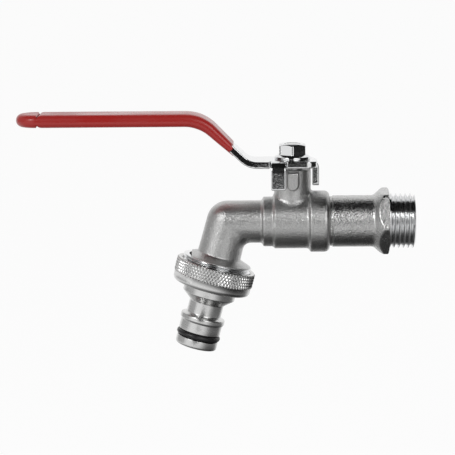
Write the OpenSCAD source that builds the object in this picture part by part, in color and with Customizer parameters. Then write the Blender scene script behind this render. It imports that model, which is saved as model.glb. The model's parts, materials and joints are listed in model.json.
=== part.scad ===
// Lever hose tap: a quarter-turn ball valve with a bent spout and a quick-coupling hose nipple.
// Units are millimetres. Origin: middle of the spanner flange's wall-side face, on the inlet axis.
// +X points into the wall, +Z up. The tap is shown open, with the lever over the spout.

/* [Inlet] */

// outside diameter of the wall thread
inlet_thread_d = 20.96; // [20.4:0.01:21.4]
// pitch of both pipe threads
pipe_pitch = 1.814; // [1.0:0.001:2.5]
// length of the wall thread
inlet_thread_len = 10; // [8:0.5:16]
// spanner size of the hexagonal flange, across its flats
flange_af = 23.4; // [21.5:0.1:26]
// turn of the hexagon about the inlet axis, in degrees
flange_turn = 5; // [-30:0.1:30]
// length of the flange's full-size land
flange_land = 2.1; // [1.5:0.1:6]
// length of the cone between the tail pipe and the flange
flange_cone = 3.9; // [2:0.1:6]
// outside diameter of the tail pipe
tail_d = 19.66; // [18.5:0.02:21]
// diameter of the inlet bore
inlet_bore_d = 14.8; // [10:0.1:15.6]
// distance from the flange face to the valve stem's axis
stem_setback = 36.6; // [33:0.1:45]

/* [Valve body] */

// outside diameter of the ring that takes the tail piece
ring_d = 23.4; // [22:0.1:28]
// distance from the stem's axis to the ring's open face
ring_reach = 14.1; // [13:0.1:20]
// length of that ring, to the start of its fillet
ring_len = 7.5; // [6:0.1:12]
// outside diameter of the ball housing
housing_d = 20.6; // [20:0.1:23]
// outside diameter of the short step ahead of the spout
step_d = 19; // [18:0.1:22]
// outside diameter of the spout pipe
spout_d = 16.2; // [15:0.1:20]
// distance from the stem's axis to the middle of the elbow
elbow_reach = 24.7; // [20:0.1:40]
// lean of the spout from vertical, in degrees
spout_lean = 14.9; // [0:0.1:45]
// diameter of the water way
bore_d = 10; // [8:0.1:11]
// outside diameter of the outlet thread
outlet_thread_d = 26.44; // [20.96:0.01:33.25]
// distance from the elbow to the end of the outlet thread
outlet_reach = 21.9; // [18:0.1:40]
// outside diameter of the stem's neck
neck_d = 14; // [12:0.1:18]
// height of the neck above the inlet axis
neck_top = 20.3; // [18:0.1:26]

/* [Valve inside] */

// diameter of the ball
ball_d = 15.5; // [14:0.1:16]
// diameter of the hole through the ball
ball_bore_d = 9.4; // [8:0.1:10]
// diameter of the stem
stem_d = 8; // [6:0.1:9]
// diameter of the stem's threaded end
stem_thread_d = 6; // [5:0.1:8]

/* [Lever] */

// thickness of the lever plate
plate_t = 2.6; // [2:0.1:4]
// width of the plate over the neck
plate_w = 18; // [15:0.1:24]
// width of the plate inside the grip
strip_w = 13.4; // [10:0.1:18]
// distance from the stem's axis to the tip of the grip
lever_reach = 104.7; // [80:0.1:140]
// height of the grip's middle above the hub plate's middle
lever_rise = 16.9; // [8:0.1:25]
// slope of the lever between its two bends, in degrees
lever_slope = 43; // [20:1:60]
// length of the flat hub plate on the spout side of the stem
hub_len = 13.4; // [12:0.1:20]
// inside-to-middle radius of the bend next to the hub
low_bend_r = 8; // [5:0.1:15]
// inside-to-middle radius of the bend next to the grip
high_bend_r = 15; // [8:0.1:20]
// thickness of the grip sleeve, outside
grip_t = 4.9; // [4:0.1:8]
// width of the grip sleeve, outside
grip_w = 16; // [14:0.1:24]
// distance from the stem's axis to the open end of the grip sleeve
grip_start = 22.2; // [20:0.1:40]
// spanner size of the lever nut
nut_af = 10; // [8:0.1:13]
// height of the lever nut
nut_h = 6; // [4:0.1:8]

/* [Hose connector] */

// outside diameter of the threaded collar
collar_d = 30.6; // [29:0.1:38]
// length of the threaded collar
collar_len = 9.2; // [8:0.1:18]
// length of the collar's knurled band
knurl_len = 5.45; // [3:0.05:9]
// diameter of the step below the collar
boss_d = 20.2; // [17:0.1:24]
// diameter of the locking neck
lock_neck_d = 13.3; // [12:0.1:15]
// diameter of the locking shoulder
lock_shoulder_d = 17.1; // [16:0.1:18]
// diameter of the nipple's barrel
barrel_d = 16; // [15:0.1:17]
// diameter of the bore through the nipple
nipple_bore_d = 9.5; // [7:0.1:11]
// length of the lip beyond the O-ring groove
lip_len = 3.35; // [2:0.05:6]
// distance from the elbow to the end of the nipple
nipple_reach = 49.8; // [40:0.1:80]

/* [Hidden] */

$fn = 96;
eps = 0.01;

// fits, all radial or one-sided
thread_gap = 0.05;
stem_gap = 0.05;
seat_gap = 0.1;
slot_gap = 0.1;
seal_gap = 0.03;

// pipe threads: depth by the Whitworth rule
thread_depth = 0.64 * pipe_pitch;

// inlet tail piece
tail_thread_r = 9;
tail_groove_r = 9.6;
tail_groove_len = 0.9;
seat_inset = 1.05;
seat_t = 2.5;
seat_far = ball_d / 2 - seat_inset;
seat_near = seat_far - seat_t;
tail_end_x = -stem_setback + seat_far;
ring_face_x = -stem_setback + ring_reach;
thread_chamfer = 1;
throat_len = 6;
throat_x = ring_face_x + 4.9;
tail_lead = 0.4;
flange_chamfer = 0.9;
flange_corner_r = flange_af / sqrt(3) - 0.2;

// valve body
ring_round = 2;
ring_fillet = 1.4;
ball_room = 0.45;
chamber_r = ball_d / 2 + ball_room;
chamber_end_x = -stem_setback - seat_far;
housing_end_x = chamber_end_x - 0.1;
step_end_x = chamber_end_x - 3.5;
step_round = 0.4;
spout_fillet = 0.8;
elbow_x = -stem_setback - elbow_reach;
down_pipe_len = 13.3;
down_pipe_end_r = 8.35;
collar_edge = 15.7;
elbow_swell = 0.02;
outlet_lead = 0.8;
neck_rim = 0.5;
lug_w = 4.2;
lug_out = 8.5;
lug_low = 12.8;

// stem
stem_shoulder_r = 5;
stem_pocket_r = stem_shoulder_r + 0.2;
stem_shoulder_z = ball_d / 2 + ball_room;
stem_shoulder_h = 1.6;
washer_h = 0.7;
stem_pocket_top = stem_shoulder_z + stem_shoulder_h + washer_h;
tang_t = 4;
tang_w = 7;
tang_z = ball_d / 2 - 1.95;
slot_floor_z = tang_z - 0.2;
seal_groove_r = 2.9;
seal_groove_h = 1.6;
seal_z = [12.9, 16.5];
seal_r = (stem_d / 2 + stem_gap - seal_gap - seal_groove_r - eps) / 2;
stem_flat_af = 6;
plate_under = 21.3;
plate_top = plate_under + plate_t;
above_all = plate_top + lever_rise + 2 * grip_t;
flats_len = plate_t - 0.3;
stem_end_chamfer = 0.6;

// lever
plate_mid = plate_under + plate_t / 2;
hub_end_x = 9.3;
hub_corner = 4;
tab_gap = 0.65;
tab_in = neck_d / 2 + tab_gap;
tab_out = tab_in + plate_t;
front_tab_x = [-8.2, -2.5];
front_tab_low = 13.2;
end_tab_y = [2.3, 8.7];
end_tab_low = 13.4;
tab_bend_r = 4;
tab_relief = 0.4;
neck_in_x = [10, 30];
nut_flange_r = 6.8;
nut_flange_h = 1.1;
nut_cone_h = 0.9;
nut_chamfer = 0.7;

// the lever's middle line, from the hub out to the tip
low_drop = low_bend_r * (1 - cos(lever_slope));
high_drop = high_bend_r * (1 - cos(lever_slope));
slope_len = (lever_rise - low_drop - high_drop) / sin(lever_slope);
slope_x0 = hub_len + low_bend_r * sin(lever_slope);
slope_x1 = slope_x0 + slope_len * cos(lever_slope);
flat_x0 = slope_x1 + high_bend_r * sin(lever_slope);
sleeve_wall_tip = 2.2;
sleeve_gap = 0.02;
sleeve_round = grip_t / 2 - 0.15;

// hose connector, all distances along the spout from the elbow
collar_top = 17;
collar_bottom = collar_top + collar_len;
collar_round = 1.8;
knurl_height = 0.3;
washer_t = 2;
washer_hole_d = bore_d + 3;
cavity_end = outlet_reach + washer_t;
boss_len = 3;
boss_end = collar_bottom + boss_len;
boss_chamfer = 0.4;
cone_end = boss_end + 2.9;
groove_len = 2.5;
groove_start = nipple_reach - lip_len - groove_len;
barrel_start = groove_start - 3.85;
shoulder_end = barrel_start - 0.75;
shoulder_top = shoulder_end - 1.95;
shoulder_round = 0.6;
groove_r = barrel_d / 2 - 1.65;
lip_round = 0.9;
mouth_chamfer = 0.4;
collar_chamfer = 0.5;
seal_section_d = 2.1;
seal_torus_r = groove_r + eps + seal_section_d / 2;
cavity_r = outlet_thread_d / 2 + thread_gap;

// points of an arc, for the turned outlines
function arc(cx, cy, r, a0, a1, n = 8) =
    [for (i = [0:n]) [cx + r * cos(a0 + (a1 - a0) * i / n), cy + r * sin(a0 + (a1 - a0) * i / n)]];

// an outline of [distance along the axis, radius] points, turned about X
module turned_x(points) {
    rotate([0, 90, 0])
        rotate_extrude()
            polygon([for (p = points) [p[1], p[0]]]);
}

// the same about the upright axis
module turned_z(points) {
    rotate_extrude()
        polygon([for (p = points) [p[1], p[0]]]);
}

module along_x(r, x0, x1) {
    translate([x0, 0, 0])
        rotate([0, 90, 0])
            cylinder(r = r, h = x1 - x0);
}

// from the inlet frame to the stem's axis
module at_stem() {
    translate([-stem_setback, 0, 0])
        children();
}

// from the inlet frame to the elbow, with +Z down the spout
module down_spout() {
    translate([elbow_x, 0, 0])
        rotate([0, 180 + spout_lean, 0])
            children();
}

module ring_torus(mid_r, section_r) {
    rotate_extrude()
        translate([mid_r, 0])
            circle(r = section_r, $fn = 48);
}

module housing_outside() {
    ring_r = ring_d / 2;
    housing_r = housing_d / 2;
    step_r = step_d / 2;
    spout_r = spout_d / 2;
    ring_end_x = ring_face_x - ring_len;
    turned_x(concat(
        [[elbow_x, 0], [elbow_x, spout_r]],
        arc(step_end_x - spout_fillet, spout_r + spout_fillet, spout_fillet, -90, 0),
        arc(step_end_x + step_round, step_r - step_round, step_round, 180, 90),
        [[housing_end_x - (housing_r - step_r), step_r], [housing_end_x, housing_r]],
        arc(ring_end_x - ring_fillet, housing_r + ring_fillet, ring_fillet, -90, 0),
        [[ring_end_x, ring_r]],
        arc(ring_face_x - ring_round, ring_r - ring_round, ring_round, 90, 0),
        [[ring_face_x, 0]]));
}

module outlet_outside() {
    thread_r = outlet_thread_d / 2;
    turned_z([
        [0, 0],
        [0, spout_d / 2],
        [down_pipe_len, down_pipe_end_r],
        [collar_edge - 0.5, thread_r],
        [outlet_reach - outlet_lead, thread_r],
        [outlet_reach, thread_r - outlet_lead],
        [outlet_reach, 0]]);
}

module neck_outside() {
    r = neck_d / 2;
    turned_z([
        [0, 0],
        [0, r],
        [neck_top - neck_rim, r],
        [neck_top, r - neck_rim],
        [neck_top, 0]]);
    translate([-lug_w / 2, -lug_out, lug_low + lug_w / 2])
        cube([lug_w, lug_out - r / 2, neck_top - 0.8 - lug_low - lug_w / 2]);
    translate([0, -r / 2, lug_low + lug_w / 2])
        rotate([90, 0, 0])
            cylinder(d = lug_w, h = lug_out - r / 2);
}

module valve_body() {
    color([0.62, 0.62, 0.61])
    difference() {
        union() {
            housing_outside();
            translate([elbow_x, 0, 0])
                sphere(d = spout_d + elbow_swell);
            down_spout()
                outlet_outside();
            at_stem()
                neck_outside();
        }
        along_x(tail_thread_r + thread_gap, tail_end_x, ring_face_x + eps);
        along_x(chamber_r, chamber_end_x, tail_end_x);
        along_x(bore_d / 2, elbow_x, chamber_end_x + eps);
        translate([elbow_x, 0, 0])
            sphere(d = bore_d);
        down_spout()
            cylinder(d = bore_d, h = outlet_reach + eps);
        at_stem() {
            cylinder(r = stem_pocket_r, h = stem_pocket_top);
            cylinder(r = stem_d / 2 + stem_gap, h = neck_top + eps);
        }
    }
}

// hexagon with turned corners on both faces
module flange_hexagon() {
    intersection() {
        translate([-flange_land - flange_cone, 0, 0])
            rotate([flange_turn, 0, 0])
                rotate([0, 90, 0])
                    cylinder(d = flange_af * 2 / sqrt(3), h = flange_land + flange_cone, $fn = 6);
        turned_x([
            [-flange_land - flange_cone, 0],
            [-flange_land - flange_cone, tail_d / 2],
            [-flange_land, flange_corner_r],
            [-flange_chamfer * 0.5, flange_corner_r],
            [0, flange_corner_r - flange_chamfer],
            [0, 0]]);
    }
}

module inlet_tailpiece() {
    thread_r = inlet_thread_d / 2;
    pipe_end_x = -flange_land - flange_cone;
    color([0.62, 0.62, 0.61])
    difference() {
        union() {
            turned_x([
                [tail_end_x, 0],
                [tail_end_x, tail_thread_r - tail_lead],
                [tail_end_x + tail_lead, tail_thread_r],
                [ring_face_x, tail_thread_r],
                [ring_face_x, tail_groove_r],
                [ring_face_x + tail_groove_len, tail_groove_r],
                [ring_face_x + tail_groove_len + tail_lead, tail_d / 2],
                [pipe_end_x + eps, tail_d / 2],
                [pipe_end_x + eps, 0]]);
            flange_hexagon();
            turned_x([
                [-eps, 0],
                [-eps, thread_r],
                [inlet_thread_len - thread_chamfer, thread_r],
                [inlet_thread_len, thread_r - thread_chamfer],
                [inlet_thread_len, 0]]);
        }
        along_x(bore_d / 2, tail_end_x - eps, throat_x);
        turned_x([
            [throat_x - throat_len, 0],
            [throat_x - throat_len, bore_d / 2],
            [throat_x, inlet_bore_d / 2],
            [inlet_thread_len + eps, inlet_bore_d / 2],
            [inlet_thread_len + eps, 0]]);
    }
}

// ring that the ball floats on: side is -1 at the spout and 1 at the inlet
module seat_ring(side) {
    outer_r = chamber_r - thread_gap;
    at_stem()
        difference() {
            along_x(outer_r, side > 0 ? seat_near : -seat_far, side > 0 ? seat_far : -seat_near);
            along_x(bore_d / 2, -ball_d, ball_d);
            sphere(d = ball_d + 2 * seat_gap);
        }
}

module inlet_seat() {
    color([0.93, 0.93, 0.9])
        seat_ring(1);
}

module outlet_seat() {
    color([0.93, 0.93, 0.9])
        seat_ring(-1);
}

module ball() {
    slot_w = tang_t + 2 * slot_gap;
    color([0.8, 0.8, 0.8])
    at_stem()
        difference() {
            sphere(d = ball_d);
            along_x(ball_bore_d / 2, -ball_d, ball_d);
            translate([-slot_w / 2, -ball_d, slot_floor_z])
                cube([slot_w, 2 * ball_d, ball_d]);
        }
}

module stem() {
    r = stem_d / 2;
    shoulder_top_z = stem_shoulder_z + stem_shoulder_h;
    half_groove = seal_groove_h / 2;
    end_z = plate_top + nut_h;
    color([0.78, 0.76, 0.7])
    at_stem() {
        difference() {
            turned_z(concat(
                [[stem_shoulder_z, 0], [stem_shoulder_z, stem_shoulder_r],
                 [shoulder_top_z, stem_shoulder_r], [shoulder_top_z, r]],
                [for (z = seal_z) each [
                    [z - half_groove, r], [z - half_groove, seal_groove_r],
                    [z + half_groove, seal_groove_r], [z + half_groove, r]]],
                [[plate_under + flats_len, r], [plate_under + flats_len, stem_thread_d / 2],
                 [end_z - stem_end_chamfer, stem_thread_d / 2],
                 [end_z, stem_thread_d / 2 - stem_end_chamfer], [end_z, 0]]));
            for (side = [-1, 1])
                translate([side * (stem_flat_af / 2 + r) - r, -r, plate_under])
                    cube([2 * r, 2 * r, flats_len + eps]);
        }
        intersection() {
            translate([-tang_t / 2, -tang_w / 2, tang_z])
                cube([tang_t, tang_w, stem_shoulder_z - tang_z + eps]);
            cylinder(d = tang_w + 1, h = stem_pocket_top);
        }
    }
}

module thrust_washer() {
    color([0.93, 0.93, 0.9])
    at_stem()
        translate([0, 0, stem_shoulder_z + stem_shoulder_h])
            difference() {
                cylinder(r = stem_shoulder_r, h = washer_h - 0.02);
                translate([0, 0, -eps])
                    cylinder(r = stem_d / 2 + eps, h = washer_h + eps);
            }
}

module stem_seal(z) {
    at_stem()
        translate([0, 0, z])
            ring_torus(seal_groove_r + eps + seal_r, seal_r);
}

module lower_stem_seal() {
    color([0.08, 0.08, 0.08])
        stem_seal(seal_z[0]);
}

module upper_stem_seal() {
    color([0.08, 0.08, 0.08])
        stem_seal(seal_z[1]);
}

// one edge of a strip along the lever's middle line, as [distance out from the stem, height] points:
// side is 1 above the middle line and -1 below it
function lever_edge(side, t, from_x, to_x) = concat(
    [[from_x, side * t / 2]],
    arc(hub_len, low_bend_r, low_bend_r - side * t / 2, -90, lever_slope - 90, 16),
    arc(flat_x0, lever_rise - high_bend_r, high_bend_r + side * t / 2, 90 + lever_slope, 90, 16),
    [[to_x, lever_rise + side * t / 2]]);

function backward(points) = [for (i = [len(points) - 1:-1:0]) points[i]];

// strip of thickness t and width w along the middle line
module lever_strip(t, w, from_x, to_x) {
    translate([0, 0, plate_mid])
        rotate([90, 0, 180])
            linear_extrude(w, center = true)
                polygon(concat(lever_edge(1, t, from_x, to_x), backward(lever_edge(-1, t, from_x, to_x))));
}

// outline of the plate seen from above
module plate_outline() {
    half_hub = plate_w / 2;
    half_strip = strip_w / 2;
    tip_x = lever_reach - sleeve_wall_tip;
    union() {
        polygon(concat(
            [[hub_end_x - hub_corner, half_hub], [-neck_in_x[0], half_hub],
             [-neck_in_x[1], half_strip], [-tip_x + half_strip, half_strip]],
            [[-tip_x + half_strip, -half_strip], [-neck_in_x[1], -half_strip],
             [-neck_in_x[0], -half_hub], [hub_end_x - hub_corner, -half_hub]],
            arc(hub_end_x - hub_corner, -half_hub + hub_corner, hub_corner, -90, 0),
            arc(hub_end_x - hub_corner, half_hub - hub_corner, hub_corner, 0, 90)));
        translate([-tip_x + half_strip, 0])
            circle(r = half_strip);
    }
}

// tab bent down from the plate's edge. Its upright part lies between tab_in and tab_out along X.
module stop_tab(width, low) {
    bend_x = tab_out - tab_bend_r;
    bend_z = plate_top - tab_bend_r;
    rotate([90, 0, 0])
        linear_extrude(width, center = true)
            polygon(concat(
                [[tab_in, low], [tab_out, low]],
                arc(bend_x, bend_z, tab_bend_r, 0, 90, 12),
                [[bend_x - 1, plate_top], [bend_x - 1, plate_under]],
                arc(bend_x, bend_z, tab_bend_r - plate_t, 90, 0, 12)));
}

// room cut in the plate's edge for a tab's bend and the reliefs beside it
module tab_notch(width) {
    translate([tab_out - tab_bend_r, -width / 2 - tab_relief, plate_under - 1])
        cube([tab_bend_r, width + 2 * tab_relief, plate_t + 2]);
}

module lever() {
    front_mid = (front_tab_x[0] + front_tab_x[1]) / 2;
    front_w = front_tab_x[1] - front_tab_x[0];
    end_mid = (end_tab_y[0] + end_tab_y[1]) / 2;
    end_w = end_tab_y[1] - end_tab_y[0];
    hole_r = stem_d / 2 + stem_gap;
    color([0.86, 0.86, 0.87])
    at_stem()
        difference() {
            union() {
                difference() {
                    intersection() {
                        lever_strip(plate_t, plate_w + 2, -hub_end_x, lever_reach);
                        linear_extrude(above_all)
                            plate_outline();
                    }
                    translate([front_mid, 0, 0])
                        rotate([0, 0, -90])
                            tab_notch(front_w);
                    translate([0, end_mid, 0])
                        tab_notch(end_w);
                }
                translate([front_mid, 0, 0])
                    rotate([0, 0, -90])
                        stop_tab(front_w, front_tab_low);
                translate([0, end_mid, 0])
                    stop_tab(end_w, end_tab_low);
            }
            intersection() {
                translate([0, 0, plate_under - 1])
                    cylinder(r = hole_r, h = plate_t + 2);
                cube([stem_flat_af + 2 * stem_gap, 4 * hole_r, 2 * above_all], center = true);
            }
        }
}

// half of the sleeve's rounded section: distance from its middle across, then height
sleeve_half = concat(
    arc(grip_w / 2 - sleeve_round, -grip_t / 2 + sleeve_round, sleeve_round, -90, 0),
    arc(grip_w / 2 - sleeve_round, grip_t / 2 - sleeve_round, sleeve_round, 0, 90));

// the whole section, with its thickness along X and its width along Y
module sleeve_section() {
    polygon(concat(
        [for (p = sleeve_half) [p[1], p[0]]],
        [for (p = backward(sleeve_half)) [p[1], -p[0]]]));
}

module sleeve_outside() {
    tip_r = grip_w / 2;
    lap = 0.02;
    translate([-slope_x0, 0, plate_mid + low_drop])
        rotate([0, -90 + lever_slope, 0])
            linear_extrude(slope_len + lap)
                sleeve_section();
    translate([-flat_x0, 0, plate_mid + lever_rise - high_bend_r])
        rotate([90, 0, 0])
            rotate([0, 0, 90 - lever_slope])
                rotate_extrude(angle = lever_slope)
                    translate([high_bend_r, 0])
                        sleeve_section();
    translate([-flat_x0 + lap, 0, plate_mid + lever_rise])
        rotate([0, -90, 0])
            linear_extrude(lever_reach - tip_r - flat_x0 + lap)
                sleeve_section();
    translate([-lever_reach + tip_r, 0, plate_mid + lever_rise])
        rotate_extrude()
            polygon(concat([[0, -grip_t / 2]], sleeve_half, [[0, grip_t / 2]]));
}

module grip_sleeve() {
    color([0.7, 0.08, 0.1])
    at_stem()
        difference() {
            intersection() {
                sleeve_outside();
                translate([-lever_reach - 1, -grip_w, 0])
                    cube([lever_reach + 1 - grip_start, 2 * grip_w, above_all]);
            }
            intersection() {
                lever_strip(plate_t + 2 * sleeve_gap, plate_w + 2, -hub_end_x, lever_reach);
                linear_extrude(above_all)
                    plate_outline();
            }
        }
}

module lever_nut() {
    corner_r = nut_af / sqrt(3);
    hex_r = corner_r - 0.15;
    color([0.82, 0.82, 0.82])
    at_stem()
        translate([0, 0, plate_top])
            difference() {
                union() {
                    turned_z([
                        [0, 0],
                        [0, nut_flange_r - 0.15],
                        [0.2, nut_flange_r],
                        [nut_flange_h, nut_flange_r],
                        [nut_flange_h + nut_cone_h, nut_af / 2],
                        [nut_flange_h + nut_cone_h, 0]]);
                    intersection() {
                        rotate([0, 0, 30])
                            cylinder(r = corner_r, h = nut_h, $fn = 6);
                        turned_z([
                            [0, 0],
                            [0, hex_r],
                            [nut_h - nut_chamfer, hex_r],
                            [nut_h, hex_r - nut_chamfer * 1.4],
                            [nut_h, 0]]);
                    }
                }
                translate([0, 0, -eps])
                    cylinder(d = stem_thread_d + 2 * thread_gap, h = nut_h + 1);
            }
}

module hose_connector() {
    collar_r = collar_d / 2;
    smooth_r = collar_r - knurl_height;
    boss_r = boss_d / 2;
    neck_r = lock_neck_d / 2;
    shoulder_r = lock_shoulder_d / 2;
    barrel_r = barrel_d / 2;
    bore_r = nipple_bore_d / 2;
    color([0.75, 0.75, 0.74])
    down_spout()
        turned_z(concat(
            [[collar_top, cavity_r + collar_chamfer], [collar_top, collar_r - collar_chamfer],
             [collar_top + collar_chamfer, collar_r], [collar_top + knurl_len, collar_r],
             [collar_top + knurl_len + knurl_height, smooth_r]],
            [for (p = arc(0, 0, collar_round, 0, 90))
                [collar_bottom - collar_round + p[1], smooth_r - collar_round + p[0]]],
            [[collar_bottom, boss_r], [boss_end - boss_chamfer, boss_r],
             [boss_end, boss_r - boss_chamfer], [cone_end, neck_r],
             [shoulder_top - 1.5 * shoulder_round, neck_r],
             [shoulder_top, neck_r + 1.5 * shoulder_round],
             [shoulder_top, shoulder_r - shoulder_round],
             [shoulder_top + shoulder_round, shoulder_r],
             [shoulder_end - shoulder_round / 2, shoulder_r],
             [barrel_start, barrel_r],
             [groove_start, barrel_r], [groove_start, groove_r],
             [groove_start + groove_len, groove_r], [groove_start + groove_len, barrel_r]],
            [for (p = arc(0, 0, lip_round, 0, 90))
                [nipple_reach - lip_round + p[1], barrel_r - lip_round + p[0]]],
            [[nipple_reach, bore_r + mouth_chamfer], [nipple_reach - mouth_chamfer, bore_r],
             [cavity_end, bore_r], [cavity_end, cavity_r],
             [collar_top + collar_chamfer, cavity_r]]));
}

module connector_seal() {
    color([0.06, 0.06, 0.06])
    down_spout()
        translate([0, 0, groove_start + groove_len / 2])
            ring_torus(seal_torus_r, seal_section_d / 2);
}

module outlet_washer() {
    color([0.1, 0.1, 0.1])
    down_spout()
        translate([0, 0, outlet_reach + eps])
            difference() {
                cylinder(r = outlet_thread_d / 2 - thread_depth, h = washer_t - 2 * eps);
                translate([0, 0, -eps])
                    cylinder(d = washer_hole_d, h = washer_t + 2 * eps);
            }
}

valve_body();
inlet_tailpiece();
inlet_seat();
outlet_seat();
ball();
stem();
thrust_washer();
lower_stem_seal();
upper_stem_seal();
lever();
grip_sleeve();
lever_nut();
hose_connector();
connector_seal();
outlet_washer();
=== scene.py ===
"""Dresses the hose tap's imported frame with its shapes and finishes, and sets the stage."""

import json
import math

import bmesh
import bpy
import numpy as np
from bpy.props import FloatProperty, FloatVectorProperty, IntProperty, PointerProperty
from mathutils import Matrix, Vector


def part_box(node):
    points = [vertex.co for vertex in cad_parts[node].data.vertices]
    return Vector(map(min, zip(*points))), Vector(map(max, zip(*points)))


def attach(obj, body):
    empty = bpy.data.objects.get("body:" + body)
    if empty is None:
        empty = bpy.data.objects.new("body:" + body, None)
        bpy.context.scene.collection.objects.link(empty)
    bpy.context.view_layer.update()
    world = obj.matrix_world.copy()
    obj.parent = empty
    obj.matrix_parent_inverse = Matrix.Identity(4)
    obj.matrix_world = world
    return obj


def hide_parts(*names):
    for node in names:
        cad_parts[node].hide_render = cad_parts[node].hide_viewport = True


bl_info = {
    "name": "Hose tap",
    "version": (1, 0, 0),
    "blender": (4, 5, 0),
    "location": "View3D > Sidebar > Hose Tap",
    "description": "Builds the visible pieces, finishes and stage of a lever hose tap",
    "category": "Object",
}

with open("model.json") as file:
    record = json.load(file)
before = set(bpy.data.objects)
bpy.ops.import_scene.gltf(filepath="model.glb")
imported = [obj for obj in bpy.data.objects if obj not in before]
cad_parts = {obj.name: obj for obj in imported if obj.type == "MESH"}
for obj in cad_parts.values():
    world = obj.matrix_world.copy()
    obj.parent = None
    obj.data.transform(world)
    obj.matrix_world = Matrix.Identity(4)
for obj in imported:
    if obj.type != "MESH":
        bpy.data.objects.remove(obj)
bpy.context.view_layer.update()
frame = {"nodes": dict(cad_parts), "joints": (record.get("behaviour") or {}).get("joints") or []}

# ---------------------------------------------------------------- what the frame gives

MM = 0.001
JOINTS = {joint["name"]: joint for joint in frame["joints"]}


def node_box(node):
    """A node's lowest and highest corners in millimetres."""
    low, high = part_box(node)
    return np.array(low) / MM, np.array(high) / MM


STEM_X = -36.6
ELBOW = np.array([-61.3, 0.0, 0.0])
LEAN = math.radians(14.9)
DOWN = np.array([-math.sin(LEAN), 0.0, -math.cos(LEAN)])

# a turned piece is made about its own Z axis, then put in place with one of these
AT_INLET = Matrix.Rotation(math.pi / 2, 4, "Y")
AT_STEM = Matrix.Translation(Vector((STEM_X, 0, 0)))
AT_SPOUT = Matrix.Translation(Vector(ELBOW)) @ Matrix.Rotation(math.pi + LEAN, 4, "Y")


# ---------------------------------------------------------------- sizes and colours


def length(name, text, millimetres):
    return FloatProperty(name=name, description=text, default=millimetres * MM, min=0.0, unit="LENGTH", precision=5)


def colour(name, text, value):
    return FloatVectorProperty(name=name, description=text, default=value, size=3, min=0.0, max=1.0, subtype="COLOR")


class HoseTapSizes(bpy.types.PropertyGroup):
    """Sizes of the tap's visible detail"""

    pipe_pitch: length("Thread pitch", "Pitch of both pipe threads", 1.814)
    knurl_starts: IntProperty(name="Knurl starts", description="Grooves of each hand round the collar", default=76)
    knurl_depth: length("Knurl depth", "Depth of the collar's knurl", 0.42)
    knurl_lead: length("Knurl lead", "Distance between knurl grooves along the collar", 2.19)
    casting_blend: length("Casting blend", "Radius of the casting's blended corners", 1.2)
    lever_edge: length("Lever edge", "Rounding of the pressed lever's edges", 0.35)
    grip_mouth: length("Grip at its mouth", "Thickness of the sleeve at its open end", 3.05)
    grip_tip: length("Grip at its tip", "Thickness of the sleeve at its closed end", 4.9)


class HoseTapColours(bpy.types.PropertyGroup):
    """Colours of the tap's finishes"""

    casting: colour("Plated casting", "Nickel plate over the blasted casting", (0.56, 0.56, 0.555))
    bright: colour("Bright plate", "Polished plate of the lever, nut and threads", (0.74, 0.745, 0.75))
    turned: colour("Turned metal", "Satin turned metal of the connector", (0.66, 0.66, 0.655))
    grip: colour("Grip", "Dipped plastic of the lever's sleeve", (0.33, 0.014, 0.012))
    rubber: colour("Rubber", "Seals and washers", (0.012, 0.012, 0.013))
    seat: colour("Seat plastic", "Ball seats and thrust washer", (0.83, 0.83, 0.8))
    floor: colour("Floor", "Floor of the stage", (0.9, 0.9, 0.9))


class HoseTapStage(bpy.types.PropertyGroup):
    """Camera and light of the stage"""

    azimuth: FloatProperty(name="Turn", description="Camera's turn about the tap", default=math.radians(-0.6228), subtype="ANGLE")
    elevation: FloatProperty(name="Elevation", description="Camera's height angle", default=math.radians(8.8778), subtype="ANGLE")
    roll: FloatProperty(name="Roll", description="Camera's roll", default=math.radians(0.4632), subtype="ANGLE")
    distance: FloatProperty(name="Distance", description="Camera's distance from its aim", default=0.86138, unit="LENGTH")
    lens: FloatProperty(name="Lens", description="Camera's focal length on a 36 mm sensor", default=178.44)
    key: FloatProperty(name="Key light", description="Power of the left soft box, in watts", default=2.0)
    fill: FloatProperty(name="Fill light", description="Power of the right soft box, in watts", default=1.5)
    room: FloatProperty(name="Room light", description="World strength for light on matt surfaces", default=0.7)


# ---------------------------------------------------------------- meshes


def make_mesh(name, points, quads):
    """A mesh of quads, in millimetres."""
    mesh = bpy.data.meshes.new(name)
    mesh.vertices.add(len(points))
    mesh.vertices.foreach_set("co", np.asarray(points, dtype=np.float32).ravel())
    mesh.loops.add(quads.size)
    mesh.loops.foreach_set("vertex_index", quads.astype(np.int32).ravel())
    mesh.polygons.add(len(quads))
    mesh.polygons.foreach_set("loop_start", np.arange(0, quads.size, 4, dtype=np.int32))
    mesh.update(calc_edges=True)
    mesh.validate()
    return mesh


def add_mask(mesh, name, values):
    """A number on each point, which a node tree reads by name."""
    mesh.attributes.new(name, "FLOAT", "POINT").data.foreach_set("value", values.astype(np.float32))


def tidy(mesh, sharp=None):
    """Merges doubles, points every face outwards and shades the mesh smooth."""
    work = bmesh.new()
    work.from_mesh(mesh)
    bmesh.ops.remove_doubles(work, verts=work.verts, dist=1e-4)
    bmesh.ops.dissolve_degenerate(work, dist=1e-5, edges=work.edges)
    bmesh.ops.recalc_face_normals(work, faces=work.faces)
    for face in work.faces:
        face.smooth = True
    work.to_mesh(mesh)
    work.free()
    if sharp is not None:
        mesh.set_sharp_from_angle(angle=math.radians(sharp))
    return mesh


def place(name, mesh, material, matrix=None):
    """An object at the origin whose mesh is put in place, in metres."""
    mesh.transform(Matrix.Scale(MM, 4) @ (matrix or Matrix.Identity(4)))
    mesh.name = name
    mesh.materials.clear()
    mesh.materials.append(material)
    piece = bpy.data.objects.new(name, mesh)
    bpy.context.scene.collection.objects.link(piece)
    return piece


def finish_piece(piece, body, slot, *nodes):
    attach(piece, body)
    if nodes:
        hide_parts(*nodes)


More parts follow.
